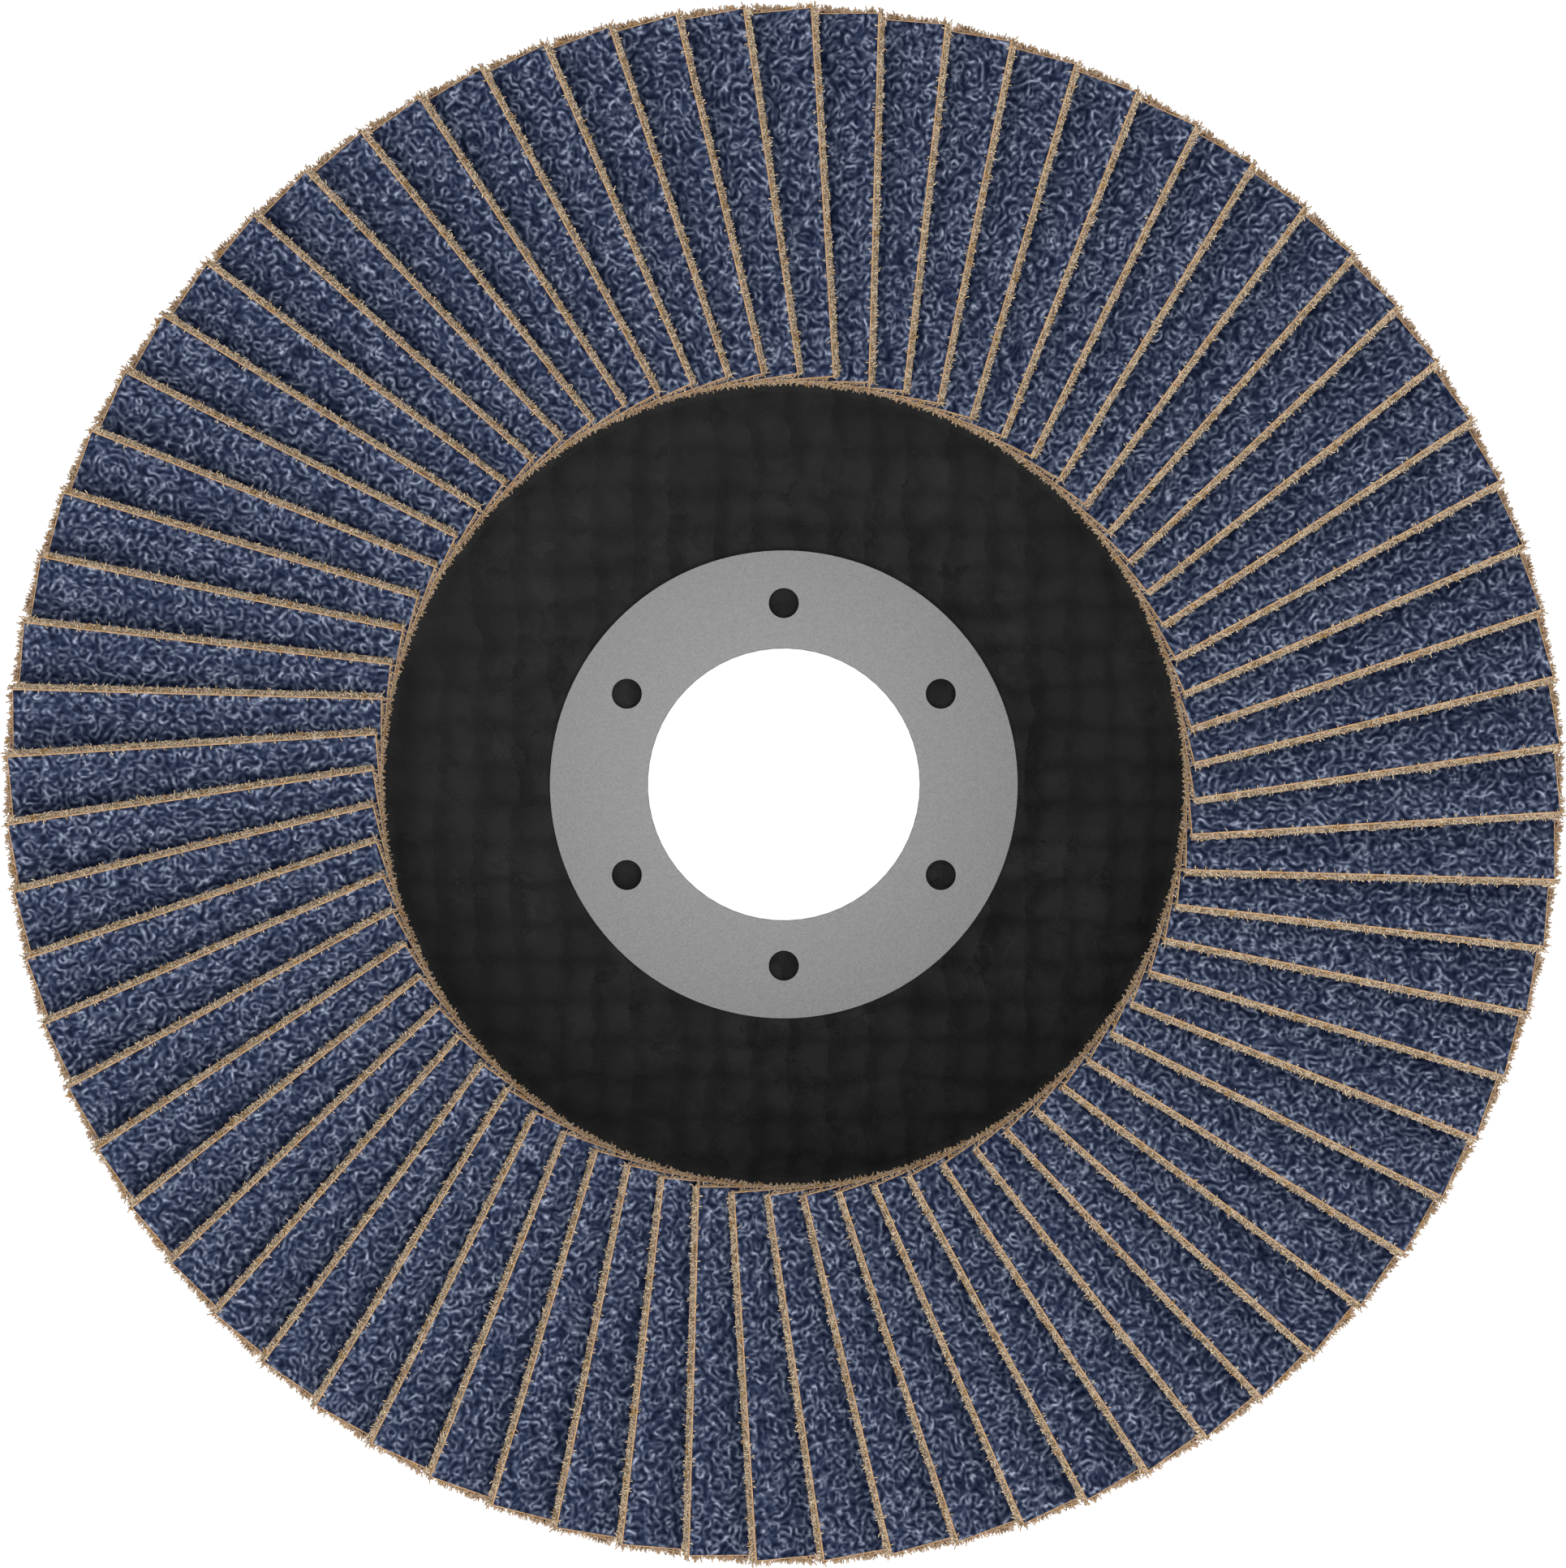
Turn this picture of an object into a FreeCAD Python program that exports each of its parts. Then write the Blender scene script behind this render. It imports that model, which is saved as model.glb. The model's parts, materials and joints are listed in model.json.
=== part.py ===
import FreeCAD
import Part

import math
import os

# Flap disc for a hand-held grinder, nominal size 125 mm, in millimetres.
# A pressed backing plate with a depressed centre carries a flat steel ring around its bore. Seventy-two flat
# flaps of abrasive cloth lean over one another on its outer ring, each with its lower edge set in a bed of
# resin, so that only a strip of every flap shows from the front.
# The origin is on the bore's axis at the back face of the hub, and +Z points towards the abrasive side.

# Reach and bore
disc_reach = 62.1
bore_diameter = 22.23

# Backing plate
plate_thickness = 3.0
hub_rise = 4.0
hub_wall_slope = 45.0
hub_floor_margin = 0.2
bend_radius = 1.5
rim_setback = 8.6

# Centre ring and the resin keys that hold it
ring_diameter = 38.1
ring_thickness = 0.8
ring_seat_depth = 0.3
ring_seat_clearance = 0.05
key_hole_count = 6
key_hole_diameter = 2.45
key_hole_place = 0.46
key_hole_first_angle = 30.0
key_boss_height = 0.4
key_boss_clearance = 0.05

# Flaps
flap_count = 72
flaps_in_group = 2
flap_length = 29.7
flap_width = 17.3
flap_thickness = 1.1
flap_inner_gap = 0.13
free_edge_offset = 6.0
first_flap_angle = 3.475

# Bed of resin
bed_height = 1.0
bed_film = 0.2
bed_margin = 0.7
bed_slot_clearance = 0.02

# Radii and heights that follow from the driving sizes
bore_radius = bore_diameter / 2
ring_radius = ring_diameter / 2
key_hole_radius = key_hole_diameter / 2
key_circle_radius = bore_radius + key_hole_place * (ring_radius - bore_radius)

flap_inner_reach = disc_reach - flap_length
hub_floor_radius = flap_inner_reach + hub_floor_margin
hub_wall_run = hub_rise / math.tan(math.radians(hub_wall_slope))
hub_back_radius = hub_floor_radius + plate_thickness * math.tan(math.radians(hub_wall_slope / 2))
seat_ring_radius = hub_floor_radius + hub_wall_run
rim_radius = disc_reach - rim_setback

ring_seat_z = plate_thickness - ring_seat_depth
ring_top_z = ring_seat_z + ring_thickness
plate_front_z = hub_rise + plate_thickness
flap_base_z = plate_front_z + bed_film

# Lean of the flaps
# Neighbouring flaps lie closest at their inner ends. There the pitch between them, seen square to their faces,
# is one flap's thickness and the small gap, and this fixes the angle between a flap and the plate.
flap_pitch_angle = 360.0 / flap_count
inner_pitch = flap_inner_reach * math.sin(math.radians(flap_pitch_angle))
flap_lean = math.asin((flap_thickness + flap_inner_gap) / inner_pitch)


def at(radius, z):
    """A point in the half plane from which the turned shapes are made."""
    return FreeCAD.Vector(radius, 0, z)


def cylinder(radius, bottom, top):
    """An upright cylinder on the axis, between two heights."""
    return Part.makeCylinder(radius, top - bottom, at(0, bottom))


def rounded_outline(corners):
    """A closed outline of straight runs. Each corner is (radius from the axis, height, rounding)."""
    runs = []
    bends = []
    count = len(corners)
    for index, (radius, z, rounding) in enumerate(corners):
        corner = at(radius, z)
        to_last = at(*corners[index - 1][:2]) - corner
        to_next = at(*corners[(index + 1) % count][:2]) - corner
        if rounding == 0:
            runs.append((corner, corner))
            bends.append(None)
            continue
        half_angle = to_last.getAngle(to_next) / 2
        to_last.normalize()
        to_next.normalize()
        inward = to_last + to_next
        inward.normalize()
        tangent_length = rounding / math.tan(half_angle)
        arc_start = corner + to_last * tangent_length
        arc_end = corner + to_next * tangent_length
        arc_middle = corner + inward * (rounding / math.sin(half_angle) - rounding)
        runs.append((arc_start, arc_end))
        bends.append(Part.Arc(arc_start, arc_middle, arc_end).toShape())
    edges = []
    for index, (arc_start, arc_end) in enumerate(runs):
        if bends[index]:
            edges.append(bends[index])
        next_start = runs[(index + 1) % count][0]
        edges.append(Part.LineSegment(arc_end, next_start).toShape())
    return Part.Face(Part.Wire(edges))


def turned(corners):
    """The solid that an outline sweeps round the bore's axis."""
    return rounded_outline(corners).revolve(at(0, 0), FreeCAD.Vector(0, 0, 1), 360)


def around_key_circle(shape):
    """Copies of a shape that is modelled on the axis, one at every keying hole of the centre ring."""
    copies = []
    for index in range(key_hole_count):
        angle = key_hole_first_angle + index * 360.0 / key_hole_count
        copy = shape.translated(at(key_circle_radius, 0))
        copy.rotate(at(0, 0), FreeCAD.Vector(0, 0, 1), angle)
        copies.append(copy)
    return copies


def make_backing_plate():
    """Pressed plate of even wall: hub, conical wall and flat outer ring, with the seat and keys of the ring."""
    outer_bend = bend_radius + plate_thickness
    seat_radius = ring_radius + ring_seat_clearance
    plate = turned(
        [
            (bore_radius, 0, 0),
            (hub_back_radius, 0, outer_bend),
            (hub_back_radius + hub_wall_run, hub_rise, bend_radius),
            (rim_radius, hub_rise, 0),
            (rim_radius, plate_front_z, 0),
            (seat_ring_radius, plate_front_z, outer_bend),
            (hub_floor_radius, plate_thickness, bend_radius),
            (seat_radius, plate_thickness, 0),
            (seat_radius, ring_seat_z, 0),
            (bore_radius, ring_seat_z, 0),
        ]
    )
    boss = cylinder(key_hole_radius - key_boss_clearance, 0, key_boss_height)
    boss.translate(at(0, ring_seat_z))
    return plate.fuse(around_key_circle(boss))


def make_centre_ring():
    """Flat ring stamped from sheet steel, with crisp edges, pierced by the bore and the keying holes."""
    blank = cylinder(ring_radius, ring_seat_z, ring_top_z)
    piercings = around_key_circle(cylinder(key_hole_radius, ring_seat_z, ring_top_z))
    piercings.append(cylinder(bore_radius, ring_seat_z, ring_top_z))
    return blank.cut(piercings)


def make_flap(angle, growth=0.0):
    """One flap at its angle on the disc, or with growth the space that it needs in the resin."""
    up_slope = FreeCAD.Vector(0, -math.cos(flap_lean), math.sin(flap_lean))
    off_face = FreeCAD.Vector(0, math.sin(flap_lean), math.cos(flap_lean))
    lower_edge = FreeCAD.Vector(
        flap_inner_reach,
        flap_width * math.cos(flap_lean) - flap_thickness * math.sin(flap_lean) - free_edge_offset,
        flap_base_z,
    )
    start = lower_edge - (up_slope + off_face + FreeCAD.Vector(1, 0, 0)) * growth
    along_slope = up_slope * (flap_width + 2 * growth)
    through_cloth = off_face * (flap_thickness + 2 * growth)
    section = Part.makePolygon(
        [
            start,
            start + along_slope,
            start + along_slope + through_cloth,
            start + through_cloth,
            start,
        ]
    )
    flap = Part.Face(section).extrude(FreeCAD.Vector(flap_length + 2 * growth, 0, 0))
    flap.rotate(at(0, 0), FreeCAD.Vector(0, 0, 1), angle)
    return flap


def make_adhesive_bed(flap_angles):
    """Ring of resin on the plate, cut into ridges by the flaps that stand in it."""
    bed_bottom = plate_front_z
    bed_top = plate_front_z + bed_height
    bed = cylinder(rim_radius - bed_margin, bed_bottom, bed_top)
    bed = bed.cut([cylinder(seat_ring_radius + bed_margin, bed_bottom, bed_top)])
    return bed.cut([make_flap(angle, bed_slot_clearance) for angle in flap_angles])


def write_node(name, shape):
    """One STEP file for one piece of the disc."""
    shape.exportStep("parts/" + name + ".step")
    print(name, len(shape.Solids), "solids", round(shape.Volume, 1), "cubic mm")


os.makedirs("parts", exist_ok=True)
flap_angles = [first_flap_angle + index * flap_pitch_angle for index in range(flap_count)]

write_node("backing_plate", make_backing_plate())
write_node("centre_ring", make_centre_ring())
write_node("adhesive_bed", make_adhesive_bed(flap_angles))
for start in range(0, flap_count, flaps_in_group):
    group = [make_flap(angle) for angle in flap_angles[start : start + flaps_in_group]]
    write_node("flap_pair_%02d" % (start // flaps_in_group + 1), Part.makeCompound(group))

print("flap lean", round(math.degrees(flap_lean), 2), "degrees")
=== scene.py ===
# %% [markdown]
# Dressing a flap disc.
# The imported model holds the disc's true pieces: a black backing plate, a steel ring, a bed of resin and
# seventy-two flat boxes, one for each flap of abrasive cloth. This script gives them their surfaces.
# The plate, the ring and the resin have the right shape already, so they keep it and only get
# materials. The flaps get new meshes, because what makes such a disc recognisable is the lumpy grit and
# the frayed, cut cloth edges.

# %% Load the frame
import json
import math
import random
from collections import namedtuple

import bmesh
import bpy
from mathutils import Matrix, Vector, noise


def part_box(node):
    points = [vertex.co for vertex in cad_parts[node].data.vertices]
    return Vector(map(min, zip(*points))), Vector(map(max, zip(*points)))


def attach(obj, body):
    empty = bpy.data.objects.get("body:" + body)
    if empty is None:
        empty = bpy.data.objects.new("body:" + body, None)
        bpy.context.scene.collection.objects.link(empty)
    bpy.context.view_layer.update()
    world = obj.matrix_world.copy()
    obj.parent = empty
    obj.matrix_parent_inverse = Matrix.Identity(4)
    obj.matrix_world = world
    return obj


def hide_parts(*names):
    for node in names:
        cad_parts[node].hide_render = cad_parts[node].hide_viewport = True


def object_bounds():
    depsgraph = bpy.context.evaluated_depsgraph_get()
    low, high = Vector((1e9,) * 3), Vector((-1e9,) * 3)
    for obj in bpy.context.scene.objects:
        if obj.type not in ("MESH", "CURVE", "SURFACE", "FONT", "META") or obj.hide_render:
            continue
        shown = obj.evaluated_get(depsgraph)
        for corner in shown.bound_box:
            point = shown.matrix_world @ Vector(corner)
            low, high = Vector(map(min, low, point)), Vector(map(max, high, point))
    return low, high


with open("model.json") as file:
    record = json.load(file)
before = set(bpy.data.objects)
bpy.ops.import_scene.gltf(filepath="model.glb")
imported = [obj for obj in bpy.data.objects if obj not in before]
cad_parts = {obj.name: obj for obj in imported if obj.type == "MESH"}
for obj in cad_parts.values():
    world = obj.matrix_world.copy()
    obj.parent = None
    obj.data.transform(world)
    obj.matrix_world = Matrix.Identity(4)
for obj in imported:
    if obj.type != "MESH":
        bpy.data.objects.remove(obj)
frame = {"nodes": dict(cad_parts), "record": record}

MM = 0.001
cad_low, cad_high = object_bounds()
print("disc", [round(side / MM, 2) for side in cad_high - cad_low], "mm")

# %% [markdown]
# Sizes.
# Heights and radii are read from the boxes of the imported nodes. A flap's own sizes can't be read from a
# box that lies askew, so they are named here as the part's source has them, and the lean follows in the
# same way from the pitch of the flaps at their inner ends.

# %% Sizes of the flaps and their fan
FLAP_COUNT = 72
FIRST_FLAP_ANGLE = math.radians(3.475)
FLAP_REACH = 62.1 * MM
FLAP_LENGTH = 29.7 * MM
FLAP_WIDTH = 17.3 * MM
FLAP_THICKNESS = 1.1 * MM
FLAP_INNER_GAP = 0.13 * MM
FREE_EDGE_OFFSET = 6.0 * MM

bore = next(mount for mount in frame["record"]["mounts"] if mount["name"] == "arbor_bore")
bore_radius = bore["dims"]["r_mm"] * MM
ring_low, ring_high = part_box("centre_ring")
plate_low, plate_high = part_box("backing_plate")
flap_low, flap_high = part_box("flap_pair_01")
flap_inner = FLAP_REACH - FLAP_LENGTH
pitch_angle = 2 * math.pi / FLAP_COUNT
lean = math.asin((FLAP_THICKNESS + FLAP_INNER_GAP) / (flap_inner * math.sin(pitch_angle)))
print("plate", [round(side / MM, 2) for side in plate_high - plate_low], "mm")
print("ring", [round(side / MM, 2) for side in ring_high - ring_low], "mm")
print("a pair of flaps", [round(side / MM, 2) for side in flap_high - flap_low], "mm")
print("lean", round(math.degrees(lean), 2), "degrees, flaps from", round(flap_inner / MM, 2), "mm")

# %% [markdown]
# The place of a flap.
# A flap is modelled lying flat: X runs along it from the disc's inside to its rim, Y from the free edge
# back to the edge that is set in resin, and Z through the cloth to the grit. One matrix leans it over
# and puts it on the disc, and a turn about the bore brings it to its own place in the fan.


# %% The matrix that seats one flap
def seat_matrix(angle):
    """From the flat flap to its place at this angle on the disc."""
    along = Vector((1, 0, 0))
    down_slope = Vector((0, math.cos(lean), -math.sin(lean)))
    off_face = Vector((0, math.sin(lean), math.cos(lean)))
    free_corner = Vector((
        flap_inner,
        -FREE_EDGE_OFFSET - FLAP_THICKNESS * math.sin(lean),
        flap_low.z + FLAP_WIDTH * math.sin(lean),
    ))
    turned = Matrix((along, down_slope, off_face)).transposed().to_4x4()
    return Matrix.Rotation(angle, 4, "Z") @ Matrix.Translation(free_corner) @ turned


def showing_strip(along):
    """Width of the strip that a flap shows, at this distance from its inner end."""
    covered = (flap_inner + along) * math.tan(pitch_angle) - FREE_EDGE_OFFSET / math.cos(pitch_angle)
    return (covered + FREE_EDGE_OFFSET) / math.cos(lean)


print("strip", [round(showing_strip(x) / MM, 2) for x in (0, FLAP_LENGTH)], "mm wide at its ends")

# %% [markdown]
# The grit face and the cloth under it.
# Abrasive cloth is a stiff weave with a rough coat of grain in resin on one face. A displacement
# modifier would spend as many faces under the neighbouring flap as on the strip that shows, so the face
# is a grid whose rows fan out with the strip, with one last wide row under the neighbour. The grid's
# rim is drawn down to make the cloth's sides, the bottom is closed, and a small bevel makes the clean
# line along the top of every cut.

# %% The body of a flap
COLUMNS = 44
ROWS = 8
STRIP_MARGIN = 0.6 * MM
RELIEF = 0.05 * MM
LUMP = 0.9 * MM
SMALL_LUMPS = 2.1
LUMPS_APART = 7.3
LINE_WIDTH = 0.08 * MM
FADE_WIDTH = 2.5 * LINE_WIDTH
GRIT, LINE, CUT, BACK = range(4)


def grit_lumps(x, y, seed):
    """Height of the coat above the cloth: low lumps that fade out towards the cuts."""
    place = Vector((x / LUMP, y / LUMP, seed * LUMPS_APART))
    lumps = noise.noise(place) + 0.5 * noise.noise(place * SMALL_LUMPS)
    from_cut = min(x, FLAP_LENGTH - x, y) / FADE_WIDTH
    return RELIEF * lumps * max(0.0, min(1.0, from_cut - 1))


def flap_body(bm, seed):
    """A closed sheet of cloth with the grit's relief on the strip that shows."""
    placed = Matrix.Translation((0.5, 0.5, 0))
    grid = bmesh.ops.create_grid(bm, x_segments=COLUMNS, y_segments=ROWS, size=0.5, matrix=placed)
    for vert in grid["verts"]:
        x = vert.co.x * FLAP_LENGTH
        row = round(vert.co.y * ROWS)
        y = FLAP_WIDTH
        if row < ROWS:
            y = (showing_strip(x) + STRIP_MARGIN) * row / (ROWS - 1)
        vert.co = (x, y, FLAP_THICKNESS + (grit_lumps(x, y, seed) if row < ROWS else 0))
    for face in bm.faces:
        face.material_index = GRIT
    rim = [edge for edge in bm.edges if edge.is_boundary]
    drawn = bmesh.ops.extrude_edge_only(bm, edges=rim)["geom"]
    for vert in drawn:
        if isinstance(vert, bmesh.types.BMVert):
            vert.co.z = 0
    for face in drawn:
        if isinstance(face, bmesh.types.BMFace):
            face.material_index = CUT
    low_rim = [edge for edge in bm.edges if edge.is_boundary]
    bottom = bmesh.ops.contextual_create(bm, geom=low_rim)["faces"]
    for face in bottom:
        face.material_index = BACK
    beside = {edge: {face.material_index for face in edge.link_faces} for edge in bm.edges}
    top_rim = [edge for edge in bm.edges if beside[edge] == {GRIT, CUT}]
    line = bmesh.ops.bevel(
        bm, geom=top_rim, affect="EDGES", offset=LINE_WIDTH, segments=2, profile=0.5, material=-1
    )["faces"]
    for face in line:
        face.material_index = LINE
    bmesh.ops.recalc_face_normals(bm, faces=bm.faces)


# %% [markdown]
# Frayed threads.
# Where the cloth is cut, its threads stand out as short curly ends. Hair particles would do it, but
# they don't leave with a mesh, and a bump can't give the ragged outline. So each thread end is real: a
# tiny three-sided tube that is grown from a triangle, bent once and cut off blunt, fourteen triangles
# in all. Two numbers go with every point for the material to read: reach, from 0 at a thread's foot to
# 1 at its end, and tint, which differs from yarn to yarn and a little from thread to thread.

# %% One thread end
CURL = 0.4


def add_layers(bm):
    """The two numbers that every point carries for the material of the threads."""
    return bm.verts.layers.float.new("reach"), bm.verts.layers.float.new("tint")


def thread_end(bm, layers, radius, root, heading, length, tint_value, draw):
    """A bent, blunt thread end that grows from root along heading."""
    turn = heading.to_track_quat("Z", "Y").to_matrix().to_4x4()
    placed = Matrix.Translation(root) @ turn
    ring = bmesh.ops.create_circle(bm, segments=3, radius=radius, cap_ends=True, matrix=placed)["verts"]
    edges = list(ring[0].link_faces[0].edges)
    curl = Vector(draw.gauss(0, 1) for _ in range(3)).normalized() * CURL
    reach, tint = layers
    stations = [ring]
    for step in (heading + curl, heading - curl):
        grown = bmesh.ops.extrude_edge_only(bm, edges=edges)["geom"]
        ring = [item for item in grown if isinstance(item, bmesh.types.BMVert)]
        edges = [item for item in grown if isinstance(item, bmesh.types.BMEdge)]
        bmesh.ops.translate(bm, verts=ring, vec=step * length / 2)
        stations.append(ring)
    bmesh.ops.contextual_create(bm, geom=edges)
    for index, station in enumerate(stations):
        for vert in station:
            vert[reach] = index / 2
            vert[tint] = tint_value


# %% [markdown]
# The fringes of a flap.
# A yarn that is cut opens into a tuft whose threads lean the same way, so the threads are grown in
# tufts. This also keeps the script quick: a bmesh operator looks through its whole mesh at each call,
# and hundreds of small steps on a growing mesh would get slower and slower, while a tuft is a small
# mesh of its own that is added to the flap when it is done. A tube that grows from a triangle facing
# along it comes out with its walls facing inwards, so the faces of a tuft are reversed before that.
# Each cut has its own yarn: how thick its threads are, how long the short and the long ones, and how
# pale. On the free edge most threads are short and pale, and at its top a few fall back over the clean
# line. The ends cut the yarns that run along the flap, and there the fringe is browner; at the rim it is
# longest and darkest, which is painted shade for threads that lie low, in the shade of the flaps' ends.
# A list of stretches gives for each end how far a stretch reaches, how close its tufts stand and which
# share of its threads is long. The outer end is dense near its free corner and again at its rear corner,
# which peeps out from under the flaps above, and sparse where they hide it. A few tufts on the lower edge
# close the rear corner.

# %% Tufts
TUFT_THREADS = 6
TUFT_SPREAD = 0.12 * MM
TUFT_LEAN = 0.4
OUTWARD_PULL = 0.7
LEAST_OUTWARD = 0.3
THREAD_STRAY = 0.35
YARN_TINT_SHARE, THREAD_TINT_SHARE = 0.7, 0.3

Yarn = namedtuple("Yarn", "radius short long tints")
EDGE_YARN = Yarn(0.048 * MM, (0.14 * MM, 0.26 * MM), (0.28 * MM, 0.48 * MM), (0.45, 1.0))
# The rim's threads get darker tints as painted shade: they lie low, in the shade of the flaps' ends.
RIM_YARN = Yarn(0.062 * MM, (0.28 * MM, 0.44 * MM), (0.46 * MM, 0.66 * MM), (0.0, 0.35))
INNER_YARN = Yarn(0.050 * MM, (0.14 * MM, 0.26 * MM), (0.30 * MM, 0.50 * MM), (0.0, 0.65))


def tuft(bm, threads, yarn, draw):
    """Thread ends of one yarn from a list of (root, heading, length), added to the flap's mesh."""
    own = bmesh.new()
    layers = add_layers(own)
    yarn_tint = draw.uniform(*yarn.tints)
    for root, heading, length in threads:
        tint_value = YARN_TINT_SHARE * yarn_tint + THREAD_TINT_SHARE * draw.uniform(*yarn.tints)
        thread_end(own, layers, yarn.radius, root, heading.normalized(), length, tint_value, draw)
    bmesh.ops.reverse_faces(own, faces=own.faces)
    for face in own.faces:
        face.material_index = CUT
        face.smooth = True
    mesh = bpy.data.meshes.new("tuft")
    own.to_mesh(mesh)
    own.free()
    bm.from_mesh(mesh)
    bpy.data.meshes.remove(mesh)


def standing_tuft(bm, centre, along, outward, yarn, long_share, draw):
    """A tuft that stands out of a cut, with its roots over the whole thickness of the cloth."""
    slant = Vector(draw.gauss(0, TUFT_LEAN) for _ in range(3))
    threads = []
    for _ in range(TUFT_THREADS):
        rise = Vector((0, 0, draw.uniform(yarn.radius, FLAP_THICKNESS - LINE_WIDTH)))
        root = centre + along * draw.gauss(0, TUFT_SPREAD) + rise - outward * yarn.radius
        heading = outward * OUTWARD_PULL + slant + Vector(draw.gauss(0, THREAD_STRAY) for _ in range(3))
        heading += outward * max(0.0, LEAST_OUTWARD - heading.dot(outward))
        reach = yarn.long if draw.random() < long_share else yarn.short
        threads.append((root, heading, draw.uniform(*reach)))
    tuft(bm, threads, yarn, draw)


# %% Fallen threads
FALLEN_SPREAD = 0.06 * MM
FALLEN_SLANT = 0.4
FALLEN_RISE = (0.2, 0.4)
FALLEN_LENGTH_MM = (0.16, 0.4)
fallen_foot = (LINE_WIDTH * 0.4, FLAP_THICKNESS - LINE_WIDTH * 0.7)


def fallen_tuft(bm, x, draw):
    """One to three threads that fall back from the top of the free edge over its clean line."""
    threads = []
    for _ in range(draw.randint(1, 3)):
        root = Vector((x + draw.gauss(0, FALLEN_SPREAD), *fallen_foot))
        heading = Vector((draw.gauss(0, FALLEN_SLANT), 1, draw.uniform(*FALLEN_RISE)))
        threads.append((root, heading, draw.uniform(*FALLEN_LENGTH_MM) * MM))
    tuft(bm, threads, EDGE_YARN, draw)


# %% Fringes of a flap
FREE_EDGE_PITCH = 0.39 * MM
FREE_EDGE_LONG_SHARE = 0.18
FALLEN_PITCH = 1.2 * MM
OUTER_END_STRETCHES = (
    (3.4 * MM, 0.33 * MM, 0.4),
    (6.6 * MM, 0.44 * MM, 0.2),
    (12.6 * MM, 5.0 * MM, 0.5),
    (15.0 * MM, 0.54 * MM, 0.9),
    (FLAP_WIDTH, 0.22 * MM, 0.7),
)
INNER_END_STRETCHES = ((9.8 * MM, 0.36 * MM, 0.3),)
REAR_CORNER_TUFTS = (0.12 * MM, 0.34 * MM, 0.62 * MM)


def spread(length, pitch, draw):
    """Places along a cut about one pitch apart."""
    count = int(length / pitch)
    return [length * (index + draw.uniform(0.1, 0.9)) / count for index in range(count)]


def flap_fringes(bm, seed):
    """All the thread ends of one flap."""
    draw = random.Random(seed)
    along_edge, into_disc = Vector((1, 0, 0)), Vector((0, 1, 0))
    for x in spread(FLAP_LENGTH, FREE_EDGE_PITCH, draw):
        standing_tuft(bm, along_edge * x, along_edge, -into_disc, EDGE_YARN, FREE_EDGE_LONG_SHARE, draw)
    for x in spread(FLAP_LENGTH, FALLEN_PITCH, draw):
        fallen_tuft(bm, x, draw)
    ends = (
        (FLAP_LENGTH, along_edge, RIM_YARN, OUTER_END_STRETCHES),
        (0.0, -along_edge, INNER_YARN, INNER_END_STRETCHES),
    )
    for end, outward, yarn, stretches in ends:
        start = 0.0
        for stop, pitch, long_share in stretches:
            for y in spread(stop - start, pitch, draw):
                centre = along_edge * end + into_disc * (start + y)
                standing_tuft(bm, centre, into_disc, outward, yarn, long_share, draw)
            start = stop
    for back in REAR_CORNER_TUFTS:
        centre = along_edge * (FLAP_LENGTH - back) + into_disc * FLAP_WIDTH
        standing_tuft(bm, centre, along_edge, into_disc, RIM_YARN, 1.0, draw)


# %% [markdown]
# Materials.
# Every pattern reads Object coordinates in metres, so that one material covers the whole fan and no two
# flaps look the same. Image textures would need a photograph of each surface and would repeat. Effects
# that are needed more than once are built as node groups: a fine grain, the tint that varies from
# thread to thread, the curly ridges of the grit and the plate's weave. The shader's specular level is
# kept low on the dark surfaces, because the white sky would otherwise lie on them as a grey veil.

# %% Screen colours
def tone(red, green, blue):
    """Linear colour from the eight-bit values seen on a screen."""
    channels = []
    for value in (red, green, blue):
        share = value / 255
        channels.append(share / 12.92 if share <= 0.04045 else ((share + 0.055) / 1.055) ** 2.4)
    return (*channels, 1.0)


def grey(level):
    """Linear grey from its eight-bit level on a screen."""
    return tone(level, level, level)


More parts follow.
